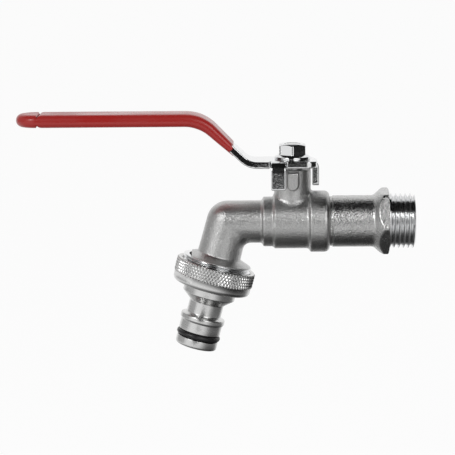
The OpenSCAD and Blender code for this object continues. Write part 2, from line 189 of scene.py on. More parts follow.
def join_meshes(name, meshes):
    """One mesh of several."""
    work = bmesh.new()
    for mesh in meshes:
        work.from_mesh(mesh)
        bpy.data.meshes.remove(mesh)
    joined = bpy.data.meshes.new(name)
    work.to_mesh(joined)
    work.free()
    return joined


def rounded(corners, steps=5):
    """Outline points of [along, radius, corner radius] corners, each corner rounded by an arc."""
    out = []
    count = len(corners)
    for i, corner in enumerate(corners):
        here = np.array(corner[:2], float)
        turn = corner[2] if len(corner) > 2 else 0
        if not turn:
            out.append(here)
            continue
        back = np.array(corners[i - 1][:2], float) - here
        ahead = np.array(corners[(i + 1) % count][:2], float) - here
        back_len, ahead_len = np.linalg.norm(back), np.linalg.norm(ahead)
        back, ahead = back / back_len, ahead / ahead_len
        half = math.acos(np.clip(back @ ahead, -1, 1)) / 2
        reach = min(turn / math.tan(half), 0.49 * back_len, 0.49 * ahead_len)
        turn = reach * math.tan(half)
        middle = here + (back + ahead) / np.linalg.norm(back + ahead) * turn / math.sin(half)
        start, end = here + back * reach - middle, here + ahead * reach - middle
        sweep = math.atan2(start[0] * end[1] - start[1] * end[0], start @ end)
        for step in range(steps + 1):
            a = sweep * step / steps
            out.append(middle + [start[0] * math.cos(a) - start[1] * math.sin(a),
                                 start[0] * math.sin(a) + start[1] * math.cos(a)])
    return np.array(out)


def refined(outline, zones=(), longest=2.5):
    """The closed outline with its long runs split. A zone is [start, end, least radius, most radius, step]."""
    out = []
    for here, ahead in zip(outline, np.roll(outline, -1, axis=0)):
        middle = (here + ahead) / 2
        step = longest
        for start, end, least, most, zone_step in zones:
            if start <= middle[0] <= end and least <= middle[1] <= most:
                step = zone_step
        pieces = max(1, math.ceil(np.linalg.norm(ahead - here) / step))
        out.extend(here + (ahead - here) * i / pieces for i in range(pieces))
    return np.array(out)


def turned(name, outline, segments, shape=None):
    """A closed outline turned about Z. shape(along, radius, angle) may change each point's radius."""
    rows = len(outline)
    angle = np.arange(segments) * (2 * math.pi / segments)
    along = np.repeat(outline[:, :1], segments, axis=1)
    radius = np.repeat(outline[:, 1:], segments, axis=1)
    if shape:
        radius = shape(along, radius, angle[None, :])
    points = np.stack([radius * np.cos(angle), radius * np.sin(angle), along], axis=2).reshape(-1, 3)
    row, column = np.meshgrid(np.arange(rows), np.arange(segments), indexing="ij")
    next_row, next_column = (row + 1) % rows, (column + 1) % segments
    quads = np.stack([row * segments + column, row * segments + next_column,
                      next_row * segments + next_column, next_row * segments + column], axis=2)
    return make_mesh(name, points, quads.reshape(-1, 4)), along.ravel(), radius.ravel()


def zone_mask(along, radius, start, end, least, most, fade=0.3):
    """One inside the zone of a turned piece, and falling to nothing at its two ends."""
    share = np.clip(np.minimum(along - start, end - along) / fade, 0, 1)
    return share * share * (3 - 2 * share) * ((radius >= least) & (radius <= most))


# ---------------------------------------------------------------- blended solids


def soft_min(a, b, blend):
    """The union of two solids, with their corner filled to a blend."""
    share = np.clip(0.5 + 0.5 * (b - a) / blend, 0, 1)
    return b + (a - b) * share - blend * share * (1 - share)


def turned_distance(along, radius, outline):
    """Distance to a turned solid, negative inside. The outline runs from the axis to the axis."""
    nearest = np.full(along.shape, 1e9, dtype=np.float32)
    inside = np.zeros(along.shape, dtype=bool)
    for (a0, r0), (a1, r1) in zip(outline, np.roll(outline, -1, axis=0)):
        da, dr = a1 - a0, r1 - r0
        if max(r0, r1) > 1e-6:
            share = np.clip(((along - a0) * da + (radius - r0) * dr) / (da * da + dr * dr + 1e-12), 0, 1)
            nearest = np.minimum(nearest, (along - a0 - share * da) ** 2 + (radius - r0 - share * dr) ** 2)
        if r0 != r1:
            level = (r0 > radius) != (r1 > radius)
            inside ^= level & (along < da * (radius - r0) / dr + a0)
    return np.where(inside, -1, 1) * np.sqrt(nearest)


def rounded_slab(flat, thick, edge):
    """A plate from its distance in plan and its distance through its thickness, with rounded edges."""
    flat, thick = flat + edge, thick + edge
    outside = np.hypot(np.maximum(flat, 0), np.maximum(thick, 0))
    return outside + np.minimum(np.maximum(flat, thick), 0) - edge


def box_distance(x, y, low, high):
    """Distance in plan to a rectangle."""
    dx = np.abs(x - (low[0] + high[0]) / 2) - (high[0] - low[0]) / 2
    dy = np.abs(y - (low[1] + high[1]) / 2) - (high[1] - low[1]) / 2
    return np.hypot(np.maximum(dx, 0), np.maximum(dy, 0)) + np.minimum(np.maximum(dx, dy), 0)


def skin(name, distance, low, high, step):
    """Quads over the surface where the distance is nothing, moved exactly onto it."""
    axes = [np.arange(a - 2 * step, b + 3 * step, step, dtype=np.float32) for a, b in zip(low, high)]
    field = distance(*np.meshgrid(*axes, indexing="ij")).astype(np.float32)
    inside = field < 0
    cells = tuple(n - 1 for n in field.shape)
    total = np.zeros(cells + (3,), dtype=np.float32)
    count = np.zeros(cells, dtype=np.int16)
    for axis in range(3):
        order = (axis, (axis + 1) % 3, (axis + 2) % 3)
        f, s = np.moveaxis(field, order, (0, 1, 2)), np.moveaxis(inside, order, (0, 1, 2))
        sums = np.moveaxis(total, order, (0, 1, 2))
        counts = np.moveaxis(count, order, (0, 1, 2))
        crossed = s[:-1] != s[1:]
        with np.errstate(divide="ignore", invalid="ignore"):
            share = np.where(crossed, f[:-1] / (f[:-1] - f[1:]), 0)
        for db in (0, 1):
            for dc in (0, 1):
                b = slice(1 - db, crossed.shape[1] - db)
                c = slice(1 - dc, crossed.shape[2] - dc)
                here, part = crossed[:, b, c], share[:, b, c]
                counts += here
                sums[..., order[0]] += part
                sums[..., order[1]] += here * (1 - db)
                sums[..., order[2]] += here * (1 - dc)
    used = count > 0
    number = np.full(cells, -1, dtype=np.int64)
    number[used] = np.arange(used.sum())
    corner = np.argwhere(used)
    points = (corner + total[used] / count[used][:, None]) * step + [axis[0] for axis in axes]
    quads = []
    for axis in range(3):
        order = (axis, (axis + 1) % 3, (axis + 2) % 3)
        s, n = np.moveaxis(inside, order, (0, 1, 2)), np.moveaxis(number, order, (0, 1, 2))
        first = s[:-1, 1:-1, 1:-1]
        i, j, k = np.nonzero(first != s[1:, 1:-1, 1:-1])
        outwards = first[i, j, k]
        j, k = j + 1, k + 1
        ring = np.stack([n[i, j - 1, k - 1], n[i, j, k - 1], n[i, j, k], n[i, j - 1, k]], axis=1)
        quads.append(np.where(outwards[:, None], ring, ring[:, ::-1]))
    for _ in range(4):
        here = distance(*points.T)
        small = 0.02
        slope = np.stack([(distance(*(points + small * unit).T) - distance(*(points - small * unit).T)) / (2 * small)
                          for unit in np.eye(3)], axis=1)
        steep = np.maximum((slope * slope).sum(axis=1), 0.3)
        points = points - np.clip(here / steep, -step / 2, step / 2)[:, None] * slope
    return make_mesh(name, points, np.concatenate(quads))


# ---------------------------------------------------------------- node helpers


def add(tree, kind, *inputs, **settings):
    """A node whose inputs are filled in order: a socket is linked, a value is set, None is left."""
    node = tree.nodes.new(kind)
    for key, value in settings.items():
        setattr(node, key, value)
    for socket, value in zip(node.inputs, inputs):
        fill(tree, socket, value)
    return node


def fill(tree, socket, value):
    if isinstance(value, bpy.types.NodeSocket):
        tree.links.new(value, socket)
    elif value is not None:
        socket.default_value = value


def maths(tree, operation, *inputs, clamp=False):
    return add(tree, "ShaderNodeMath", *inputs, operation=operation, use_clamp=clamp).outputs[0]


def vector(tree, operation, *inputs):
    node = add(tree, "ShaderNodeVectorMath", *inputs, operation=operation)
    return node.outputs["Value"] if operation in ("DOT_PRODUCT", "LENGTH", "DISTANCE") else node.outputs[0]


def spread(tree, value, low, high, to_low=0.0, to_high=1.0):
    node = add(tree, "ShaderNodeMapRange", value, low, high, to_low, to_high)
    node.interpolation_type = "SMOOTHSTEP"
    return node.outputs[0]


def group_sockets(tree, inputs, outputs):
    for name, kind, value in inputs:
        socket = tree.interface.new_socket(name=name, in_out="INPUT", socket_type=kind)
        if value is not None:
            socket.default_value = value
    for name, kind in outputs:
        tree.interface.new_socket(name=name, in_out="OUTPUT", socket_type=kind)


def run_tree(piece, tree, values):
    """Applies a geometry tree to a piece: its inputs by name, its result as a plain mesh."""
    modifier = piece.modifiers.new(tree.name, "NODES")
    modifier.node_group = tree
    for item in tree.interface.items_tree:
        if item.item_type == "SOCKET" and item.in_out == "INPUT" and item.name in values:
            modifier[item.identifier] = values[item.name]
    evaluated = piece.evaluated_get(bpy.context.evaluated_depsgraph_get())
    mesh = bpy.data.meshes.new_from_object(evaluated)
    piece.modifiers.remove(modifier)
    old = piece.data
    piece.data = mesh
    bpy.data.meshes.remove(old)
    return mesh


def shape_mesh(mesh, tree, *passes):
    """Runs a tree over a mesh, once for each set of inputs."""
    holder = bpy.data.objects.new("work", mesh)
    bpy.context.scene.collection.objects.link(holder)
    for values in passes:
        run_tree(holder, tree, values)
    result = holder.data
    bpy.data.objects.remove(holder)
    return result


# ---------------------------------------------------------------- geometry trees


def helical_relief_tree():
    """Cuts helical grooves into a turned mesh, of one hand for a thread or of both for a knurl."""
    name = "Helical relief"
    if name in bpy.data.node_groups:
        return bpy.data.node_groups[name]
    tree = bpy.data.node_groups.new(name, "GeometryNodeTree")
    group_sockets(tree, [("Geometry", "NodeSocketGeometry", None), ("Zone", "NodeSocketString", "relief"),
                         ("Starts", "NodeSocketFloat", 1.0), ("Lead", "NodeSocketFloat", 1.8),
                         ("Depth", "NodeSocketFloat", 1.0), ("Crest", "NodeSocketFloat", 0.85),
                         ("Root", "NodeSocketFloat", 0.15), ("Crossing", "NodeSocketFloat", 0.0),
                         ("Material", "NodeSocketMaterial", None)], [("Geometry", "NodeSocketGeometry")])
    given = tree.nodes.new("NodeGroupInput").outputs
    position = tree.nodes.new("GeometryNodeInputPosition").outputs[0]
    part = add(tree, "ShaderNodeSeparateXYZ", position).outputs
    angle = maths(tree, "DIVIDE", maths(tree, "ARCTAN2", part[1], part[0]), 2 * math.pi)
    turns = maths(tree, "MULTIPLY", angle, given["Starts"])
    climb = maths(tree, "DIVIDE", part[2], given["Lead"])

    def wave(value):
        saw = maths(tree, "FRACT", value)
        return maths(tree, "ABSOLUTE", maths(tree, "MULTIPLY_ADD", saw, 2.0, -1.0))

    one = wave(maths(tree, "ADD", turns, climb))
    other = maths(tree, "MAXIMUM", wave(maths(tree, "SUBTRACT", turns, climb)),
                  maths(tree, "SUBTRACT", 1.0, given["Crossing"]))
    height = add(tree, "ShaderNodeMapRange", maths(tree, "MINIMUM", one, other), given["Root"], given["Crest"]).outputs[0]
    mask = add(tree, "GeometryNodeInputNamedAttribute", given["Zone"], data_type="FLOAT").outputs[0]
    cut = maths(tree, "MULTIPLY", maths(tree, "MULTIPLY", maths(tree, "SUBTRACT", height, 1.0), given["Depth"]), mask)
    flat = vector(tree, "NORMALIZE", vector(tree, "MULTIPLY", position, (1, 1, 0)))
    scaled = tree.nodes.new("ShaderNodeVectorMath")
    scaled.operation = "SCALE"
    tree.links.new(flat, scaled.inputs[0])
    tree.links.new(cut, scaled.inputs["Scale"])
    moved = tree.nodes.new("GeometryNodeSetPosition")
    tree.links.new(given["Geometry"], moved.inputs["Geometry"])
    tree.links.new(scaled.outputs[0], moved.inputs["Offset"])
    end_tree(tree, moved.outputs[0], given["Material"])
    return tree


def end_tree(tree, geometry, material):
    real = add(tree, "GeometryNodeRealizeInstances", geometry)
    dressed = tree.nodes.new("GeometryNodeSetMaterial")
    tree.links.new(real.outputs[0], dressed.inputs["Geometry"])
    tree.links.new(material, dressed.inputs["Material"])
    tree.links.new(dressed.outputs[0], tree.nodes.new("NodeGroupOutput").inputs[0])


def press_bend_tree():
    """Bends the part of a flat blank that lies past a line, as a press does, with its middle plane kept."""
    name = "Press bend"
    if name in bpy.data.node_groups:
        return bpy.data.node_groups[name]
    tree = bpy.data.node_groups.new(name, "GeometryNodeTree")
    group_sockets(tree, [("Geometry", "NodeSocketGeometry", None), ("Zone", "NodeSocketString", "strip"),
                         ("Direction", "NodeSocketVector", (-1, 0, 0)), ("Line", "NodeSocketFloat", 10.0),
                         ("Radius", "NodeSocketFloat", 5.0), ("Angle", "NodeSocketFloat", 0.5),
                         ("Material", "NodeSocketMaterial", None)], [("Geometry", "NodeSocketGeometry")])
    given = tree.nodes.new("NodeGroupInput").outputs
    position = tree.nodes.new("GeometryNodeInputPosition").outputs[0]
    height = add(tree, "ShaderNodeSeparateXYZ", position).outputs[2]
    way = maths(tree, "SIGN", given["Angle"])
    whole = maths(tree, "MULTIPLY", maths(tree, "ABSOLUTE", given["Angle"]), given["Radius"])
    past = maths(tree, "MAXIMUM", maths(tree, "SUBTRACT", vector(tree, "DOT_PRODUCT", position, given["Direction"]),
                                        given["Line"]), 0.0)
    turn = maths(tree, "DIVIDE", maths(tree, "MINIMUM", past, whole), given["Radius"])
    beyond = maths(tree, "MAXIMUM", maths(tree, "SUBTRACT", past, whole), 0.0)
    sine, cosine = maths(tree, "SINE", turn), maths(tree, "COSINE", turn)
    arm = maths(tree, "SUBTRACT", given["Radius"], maths(tree, "MULTIPLY", height, way))
    run = maths(tree, "SUBTRACT", maths(tree, "ADD", maths(tree, "MULTIPLY", arm, sine),
                                        maths(tree, "MULTIPLY", beyond, cosine)), past)
    lift = maths(tree, "ADD", maths(tree, "SUBTRACT", given["Radius"], maths(tree, "MULTIPLY", arm, cosine)),
                 maths(tree, "MULTIPLY", beyond, sine))
    rise = maths(tree, "SUBTRACT", maths(tree, "MULTIPLY", lift, way), height)
    mask = add(tree, "GeometryNodeInputNamedAttribute", given["Zone"], data_type="FLOAT").outputs[0]

    def scale(direction, amount):
        node = tree.nodes.new("ShaderNodeVectorMath")
        node.operation = "SCALE"
        fill(tree, node.inputs[0], direction)
        tree.links.new(maths(tree, "MULTIPLY", amount, mask), node.inputs["Scale"])
        return node.outputs[0]

    offset = vector(tree, "ADD", scale(given["Direction"], run), scale((0, 0, 1), rise))
    moved = tree.nodes.new("GeometryNodeSetPosition")
    tree.links.new(given["Geometry"], moved.inputs["Geometry"])
    tree.links.new(offset, moved.inputs["Offset"])
    end_tree(tree, moved.outputs[0], given["Material"])
    return tree


# ---------------------------------------------------------------- shader groups


def shader_group(name, inputs, outputs):
    """A new shader group, with its given sockets and a function that links its outputs."""
    tree = bpy.data.node_groups.new(name, "ShaderNodeTree")
    group_sockets(tree, inputs, outputs)
    given = tree.nodes.new("NodeGroupInput").outputs
    result = tree.nodes.new("NodeGroupOutput").inputs
    return tree, given, result


FLOAT, COLOR, VECTOR = "NodeSocketFloat", "NodeSocketColor", "NodeSocketVector"


def cast_grain_group():
    """Blasted, plated grain: fine pits of mixed size, some of them brighter."""
    name = "Cast grain"
    if name in bpy.data.node_groups:
        return bpy.data.node_groups[name]
    tree, given, result = shader_group(name, [("Vector", VECTOR, None), ("Grain", FLOAT, 1800.0), ("Depth", FLOAT, 1.0)],
                                       [("Height", FLOAT), ("Tint", FLOAT), ("Roughness", FLOAT)])
    fine = add(tree, "ShaderNodeTexNoise", given["Vector"], noise_dimensions="3D")
    tree.links.new(given["Grain"], fine.inputs["Scale"])
    fine.inputs["Detail"].default_value = 2.0
    fine.inputs["Roughness"].default_value = 0.6
    pits = add(tree, "ShaderNodeTexVoronoi", given["Vector"], voronoi_dimensions="3D", feature="SMOOTH_F1")
    tree.links.new(maths(tree, "MULTIPLY", given["Grain"], 0.6), pits.inputs["Scale"])
    broad = add(tree, "ShaderNodeTexNoise", given["Vector"], noise_dimensions="3D")
    tree.links.new(maths(tree, "MULTIPLY", given["Grain"], 0.12), broad.inputs["Scale"])
    height = maths(tree, "ADD", fine.outputs[0], maths(tree, "MULTIPLY", pits.outputs["Distance"], 0.5))
    height = maths(tree, "MULTIPLY_ADD", broad.outputs[0], 0.6, height)
    tree.links.new(maths(tree, "MULTIPLY", height, given["Depth"]), result["Height"])
    tree.links.new(spread(tree, fine.outputs[0], 0.3, 0.7, 0.85, 1.08), result["Tint"])
    tree.links.new(spread(tree, broad.outputs[0], 0.3, 0.7, 0.0, 1.0), result["Roughness"])
    return tree


def turning_lines_group():
    """Fine lines round a turned piece, as a lathe tool leaves them, read along the piece's Z axis."""
    name = "Turning lines"
    if name in bpy.data.node_groups:
        return bpy.data.node_groups[name]
    tree, given, result = shader_group(name, [("Vector", VECTOR, None), ("Lines", FLOAT, 9000.0), ("Drag", FLOAT, 40.0)],
                                       [("Height", FLOAT), ("Roughness", FLOAT)])
    part = add(tree, "ShaderNodeSeparateXYZ", given["Vector"]).outputs
    radius = maths(tree, "SQRT", maths(tree, "ADD", maths(tree, "MULTIPLY", part[0], part[0]),
                                       maths(tree, "MULTIPLY", part[1], part[1])))
    angle = maths(tree, "ARCTAN2", part[1], part[0])
    spot = add(tree, "ShaderNodeCombineXYZ",
               maths(tree, "MULTIPLY", maths(tree, "ADD", part[2], radius), given["Lines"]),
               maths(tree, "MULTIPLY", maths(tree, "SINE", angle), 1.2),
               maths(tree, "MULTIPLY", maths(tree, "COSINE", angle), 1.2)).outputs[0]
    lines = add(tree, "ShaderNodeTexNoise", spot, noise_dimensions="3D")
    lines.inputs["Scale"].default_value = 1.0
    lines.inputs["Detail"].default_value = 3.0
    smear = add(tree, "ShaderNodeTexNoise", given["Vector"], noise_dimensions="3D")
    tree.links.new(given["Drag"], smear.inputs["Scale"])
    tree.links.new(lines.outputs[0], result["Height"])
    tree.links.new(maths(tree, "MULTIPLY", lines.outputs[0], spread(tree, smear.outputs[0], 0.3, 0.7, 0.6, 1.3)),
                   result["Roughness"])
    return tree


def edge_wear_and_shade_group():
    """Where convex edges are rubbed bright, and painted shade that darkens the inside corners."""
    name = "Edge wear"
    if name in bpy.data.node_groups:
        return bpy.data.node_groups[name]
    tree, given, result = shader_group(name, [("Vector", VECTOR, None), ("Start", FLOAT, 0.52), ("Patch", FLOAT, 260.0)],
                                       [("Edge", FLOAT), ("Corner_shade", FLOAT)])
    shape = tree.nodes.new("ShaderNodeNewGeometry").outputs["Pointiness"]
    patch = add(tree, "ShaderNodeTexNoise", given["Vector"], noise_dimensions="3D")
    tree.links.new(given["Patch"], patch.inputs["Scale"])
    share = spread(tree, patch.outputs[0], 0.35, 0.6, 0.4, 1.0)
    edge = maths(tree, "DIVIDE", maths(tree, "SUBTRACT", shape, given["Start"]), 0.08, clamp=True)
    # Painted shade: inside corners, where pointiness is low, are made darker in the colour.
    corner = maths(tree, "DIVIDE", maths(tree, "SUBTRACT", 0.48, shape), 0.08, clamp=True)
    tree.links.new(maths(tree, "MULTIPLY", edge, share), result["Edge"])
    tree.links.new(maths(tree, "MULTIPLY", corner, share), result["Corner_shade"])
    return tree


def marks_group():
    """Faint handling marks: soft patches and hair-fine scuffs that only change the gloss."""
    name = "Handling marks"
    if name in bpy.data.node_groups:
        return bpy.data.node_groups[name]
    tree, given, result = shader_group(name, [("Vector", VECTOR, None), ("Size", FLOAT, 60.0)],
                                       [("Roughness", FLOAT), ("Height", FLOAT)])
    broad = add(tree, "ShaderNodeTexNoise", given["Vector"], noise_dimensions="3D")
    tree.links.new(given["Size"], broad.inputs["Scale"])
    stretched = vector(tree, "MULTIPLY", given["Vector"], (1.0, 9.0, 9.0))
    scuffs = add(tree, "ShaderNodeTexNoise", stretched, noise_dimensions="3D")
    tree.links.new(maths(tree, "MULTIPLY", given["Size"], 9.0), scuffs.inputs["Scale"])
    scuffs.inputs["Detail"].default_value = 4.0
    tree.links.new(maths(tree, "MULTIPLY", spread(tree, broad.outputs[0], 0.35, 0.7), scuffs.outputs[0]), result["Roughness"])
    tree.links.new(scuffs.outputs[0], result["Height"])
    return tree


# ---------------------------------------------------------------- materials


def new_material(name):
    if name in bpy.data.materials:
        return None, None, None
    material = bpy.data.materials.new(name)
    material.use_nodes = True
    tree = material.node_tree
    return material, tree, tree.nodes["Principled BSDF"]


def place_group(tree, group, vector_socket, **values):
    node = tree.nodes.new("ShaderNodeGroup")
    node.node_tree = group
    tree.links.new(vector_socket, node.inputs["Vector"])
    for key, value in values.items():
        fill(tree, node.inputs[key], value)
    return node.outputs


def object_place(tree, location=(0, 0, 0), rotation=(0, 0, 0)):
    """Object coordinates, moved and turned so that a turned piece's own axis is Z."""
    coords = tree.nodes.new("ShaderNodeTexCoord").outputs["Object"]
    return add(tree, "ShaderNodeMapping", coords, location, rotation, vector_type="TEXTURE").outputs[0]


def bump(tree, height, distance, strength=1.0, normal=None):
    node = add(tree, "ShaderNodeBump")
    node.inputs["Strength"].default_value = strength
    node.inputs["Distance"].default_value = distance
    tree.links.new(height, node.inputs["Height"])
    if normal:
        tree.links.new(normal, node.inputs["Normal"])
    return node.outputs[0]


def tinted(tree, colour_value, amount):
    """A colour made lighter or darker by a factor."""
    node = tree.nodes.new("ShaderNodeVectorMath")
    node.operation = "SCALE"
    fill(tree, node.inputs[0], tuple(colour_value) if not isinstance(colour_value, bpy.types.NodeSocket) else colour_value)
    tree.links.new(amount, node.inputs["Scale"])
    return node.outputs[0]


def blasted_material(name, rough, depth):
    """Nickel plate over a blasted surface, whose grain glitters where light meets dark."""
    material, tree, shader = new_material(name)
    if not material:
        return bpy.data.materials[name]
    tone = bpy.context.scene.hose_tap_colours.casting
    coords = object_place(tree)
    grain = place_group(tree, cast_grain_group(), coords, Grain=2300.0, Depth=1.0)
    wear_and_shade = place_group(tree, edge_wear_and_shade_group(), coords)
    shader.inputs["Metallic"].default_value = 1.0
    # Colour: random grain tint, lighter worn edges, and painted shade darkening the inside corners.
    shade = maths(tree, "SUBTRACT", maths(tree, "MULTIPLY_ADD", wear_and_shade["Edge"], 0.25, grain["Tint"]),
                  maths(tree, "MULTIPLY", wear_and_shade["Corner_shade"], 0.3))
    tree.links.new(tinted(tree, tone, shade), shader.inputs["Base Color"])
    tree.links.new(maths(tree, "MULTIPLY_ADD", grain["Roughness"], 0.08, rough), shader.inputs["Roughness"])
    tree.links.new(bump(tree, grain["Height"], depth, 1.0), shader.inputs["Normal"])
    return material


def casting_material():
    return blasted_material("blasted_casting", 0.3, 0.00013)


def tail_material():
    return blasted_material("blasted_tail", 0.2, 0.00013)


def bright_material():
    name = "polished_plate"
    material, tree, shader = new_material(name)
    if not material:
        return bpy.data.materials[name]
    tone = bpy.context.scene.hose_tap_colours.bright
    coords = object_place(tree)
    marks = place_group(tree, marks_group(), coords, Size=70.0)
    wear_and_shade = place_group(tree, edge_wear_and_shade_group(), coords)
    shader.inputs["Metallic"].default_value = 1.0
    # Colour: painted shade darkens the inside corners.
    tree.links.new(tinted(tree, tone, maths(tree, "MULTIPLY_ADD", wear_and_shade["Corner_shade"], -0.4, 1.0)), shader.inputs["Base Color"])
    tree.links.new(maths(tree, "MULTIPLY_ADD", marks["Roughness"], 0.12, 0.07), shader.inputs["Roughness"])
    tree.links.new(bump(tree, marks["Height"], 0.00003, 0.6), shader.inputs["Normal"])
    return material


def turned_material():
    name = "satin_turned"
    material, tree, shader = new_material(name)
    if not material:
        return bpy.data.materials[name]
    tone = bpy.context.scene.hose_tap_colours.turned
    coords = object_place(tree, tuple(ELBOW * MM), (0, math.pi + LEAN, 0))
    lines = place_group(tree, turning_lines_group(), coords)
    wear_and_shade = place_group(tree, edge_wear_and_shade_group(), coords)
    shader.inputs["Metallic"].default_value = 1.0
    # Colour: lighter worn edges, and painted shade darkening the inside corners.
    shade = maths(tree, "MULTIPLY_ADD", wear_and_shade["Edge"], 0.2, maths(tree, "MULTIPLY_ADD", wear_and_shade["Corner_shade"], -0.35, 1.0))
    tree.links.new(tinted(tree, tone, shade), shader.inputs["Base Color"])
    tree.links.new(maths(tree, "MULTIPLY_ADD", lines["Roughness"], 0.16, 0.2), shader.inputs["Roughness"])
    tree.links.new(bump(tree, lines["Height"], 0.00002, 0.5), shader.inputs["Normal"])
    return material


def grip_material():
    name = "dipped_red_plastic"
    material, tree, shader = new_material(name)
    if not material:
        return bpy.data.materials[name]
    tone = bpy.context.scene.hose_tap_colours.grip
    coords = object_place(tree)
    marks = place_group(tree, marks_group(), coords, Size=45.0)
    wear_and_shade = place_group(tree, edge_wear_and_shade_group(), coords, Start=0.51)
    tree.links.new(tinted(tree, tone, maths(tree, "MULTIPLY_ADD", wear_and_shade["Edge"], 0.15, 1.0)), shader.inputs["Base Color"])
    tree.links.new(maths(tree, "MULTIPLY_ADD", marks["Roughness"], 0.25, 0.2), shader.inputs["Roughness"])
    tree.links.new(bump(tree, marks["Height"], 0.00006, 0.5), shader.inputs["Normal"])
    return material


def rubber_material():
    name = "seal_rubber"
    material, tree, shader = new_material(name)
    if not material:
        return bpy.data.materials[name]
    tone = bpy.context.scene.hose_tap_colours.rubber
    coords = object_place(tree)
    marks = place_group(tree, marks_group(), coords, Size=120.0)
    tree.links.new(tinted(tree, tone, maths(tree, "MULTIPLY_ADD", marks["Height"], 0.6, 0.7)), shader.inputs["Base Color"])
    tree.links.new(maths(tree, "MULTIPLY_ADD", marks["Roughness"], 0.3, 0.28), shader.inputs["Roughness"])
    tree.links.new(bump(tree, marks["Height"], 0.00005, 0.5), shader.inputs["Normal"])
    return material


def seat_material():
    name = "seat_plastic_white"
    material, tree, shader = new_material(name)
    if not material:
        return bpy.data.materials[name]
    tone = bpy.context.scene.hose_tap_colours.seat
    coords = object_place(tree)
    marks = place_group(tree, marks_group(), coords, Size=90.0)
    tree.links.new(tinted(tree, tone, maths(tree, "MULTIPLY_ADD", marks["Height"], 0.1, 0.95)), shader.inputs["Base Color"])
    tree.links.new(maths(tree, "MULTIPLY_ADD", marks["Roughness"], 0.2, 0.4), shader.inputs["Roughness"])
    return material


# ---------------------------------------------------------------- the casting


def housing_outline():
    """The turned outside of the ball housing, its ring and the straight spout, along X."""
    return rounded([
        (ELBOW[0], 0), (ELBOW[0], 8.1), (-48.4, 8.1, 0.9), (-47.7, 9.5, 0.5), (-44.2, 9.5, 0.3), (-43.4, 10.3, 0.5),
        (-30.6, 10.3, 1.4), (-29.8, 11.7, 0.6), (-22.5, 11.7, 2.0), (-22.5, 0)], steps=4)


def spout_outline():
    """The turned outside of the leaning spout, down from the elbow."""
    return rounded([
        (0, 0), (0, 8.1), (13.3, 8.35, 0.8), (15.1, 12.9, 0.3), (15.6, 12.9), (15.6, 11.9), (21.5, 11.9), (21.9, 11.5), (21.9, 0)],
        steps=4)


def casting_distance(x, y, z):
    across = np.hypot(y, z)
    body = turned_distance(x, across, housing_outline())
    down = (x - ELBOW[0]) * DOWN[0] + z * DOWN[2]
    aside = np.sqrt(np.maximum((x - ELBOW[0]) ** 2 + y ** 2 + z ** 2 - down ** 2, 0))
    spout = turned_distance(down, aside, spout_outline())
    inner = np.array([1.0 + DOWN[0], 0, DOWN[2]])
    inner /= np.linalg.norm(inner)
    inwards = ((x - ELBOW[0]) * inner[0] + z * inner[2]) / 8.1
    bend = 0.02 + 2.6 * np.clip((inwards - 0.4) / 0.6, 0, 1)
    solid = soft_min(body, spout, bend)
    solid = np.minimum(solid, np.sqrt((x - ELBOW[0]) ** 2 + y ** 2 + z ** 2) - 8.1)
    sx = x - STEM_X
    neck_r = np.hypot(sx, y)
    neck = turned_distance(z, neck_r, rounded([(0, 0), (0, 7), (20.3, 7, 0.5), (20.3, 0)]))
    solid = soft_min(solid, neck, 1.2)
    lug_plan = np.where(z < 14.9, np.hypot(sx, z - 14.9) - 2.1, np.maximum(np.abs(sx) - 2.1, z - 19.5))
    lug = rounded_slab(lug_plan, np.maximum(-y - 8.5, y + 3.5), 0.35)
    solid = soft_min(solid, lug, 0.5)
    hollow = np.maximum(across - 9.05, np.maximum(-28.9 - x, x + 22))
    hollow = np.minimum(hollow, np.maximum(across - 8.2, np.maximum(-43.3 - x, x + 28.9)))
    hollow = np.minimum(hollow, np.maximum(across - 5, np.maximum(ELBOW[0] - x, x + 43)))
    hollow = np.minimum(hollow, np.sqrt((x - ELBOW[0]) ** 2 + y ** 2 + z ** 2) - 5)
    hollow = np.minimum(hollow, np.maximum(aside - 5, np.maximum(-down, down - 23)))
    hollow = np.minimum(hollow, np.maximum(neck_r - 5.2, np.maximum(-z, z - 10.5)))
    hollow = np.minimum(hollow, np.maximum(neck_r - 4.05, np.maximum(-z, z - 22)))
    return np.maximum(solid, -hollow)


class HOSETAP_OT_casting(bpy.types.Operator):
    """Build the plated casting with its spout and outlet thread"""

    bl_idname = "hosetap.casting"
    bl_label = "Valve casting"

    def execute(self, context):
        sizes = context.scene.hose_tap_sizes
        step = 0.36
        mesh = skin("casting", casting_distance, (-74.5, -13.6, -24.5), (-22.3, 13.6, 20.5), step)
        outline = refined(rounded([(15.3, 11.2), (15.3, 13.2, 0.3), (21.9, 13.2, 0.8), (21.9, 11.2)]),
                          [(15, 22, 12.5, 14, 0.11)])
        thread, along, radius = turned("outlet_thread", outline, 192)
        add_mask(thread, "relief", zone_mask(along, radius, 15.6, 22.2, 12.3, 14, 0.5))
        thread = shape_mesh(thread, helical_relief_tree(),
                            {"Lead": sizes.pipe_pitch / MM, "Depth": 1.16, "Crest": 0.88, "Root": 0.14,
                             "Material": bright_material()})
        thread.transform(AT_SPOUT)
        casting = place("casting", tidy(mesh), casting_material())
        ring = place("outlet_thread", tidy(thread, 50), bright_material())
        finish_piece(casting, "tap_body", "plated_casting", "valve_body")
        finish_piece(ring, "tap_body", "bright_plate")
        return {"FINISHED"}


# ---------------------------------------------------------------- the wall side


def hexagon_radius(angle, across_flats, corner_at, soft):
    """Radius of a hexagon with softened corners at each angle."""
    total = 0
    for side in range(6):
        flat_at = corner_at + math.pi / 6 + side * math.pi / 3
        total = total + np.exp(np.clip(np.cos(angle - flat_at), 0, None) / soft)
    level = soft * np.log(total)
    return across_flats / 2 / level * (1 + 0 * angle)


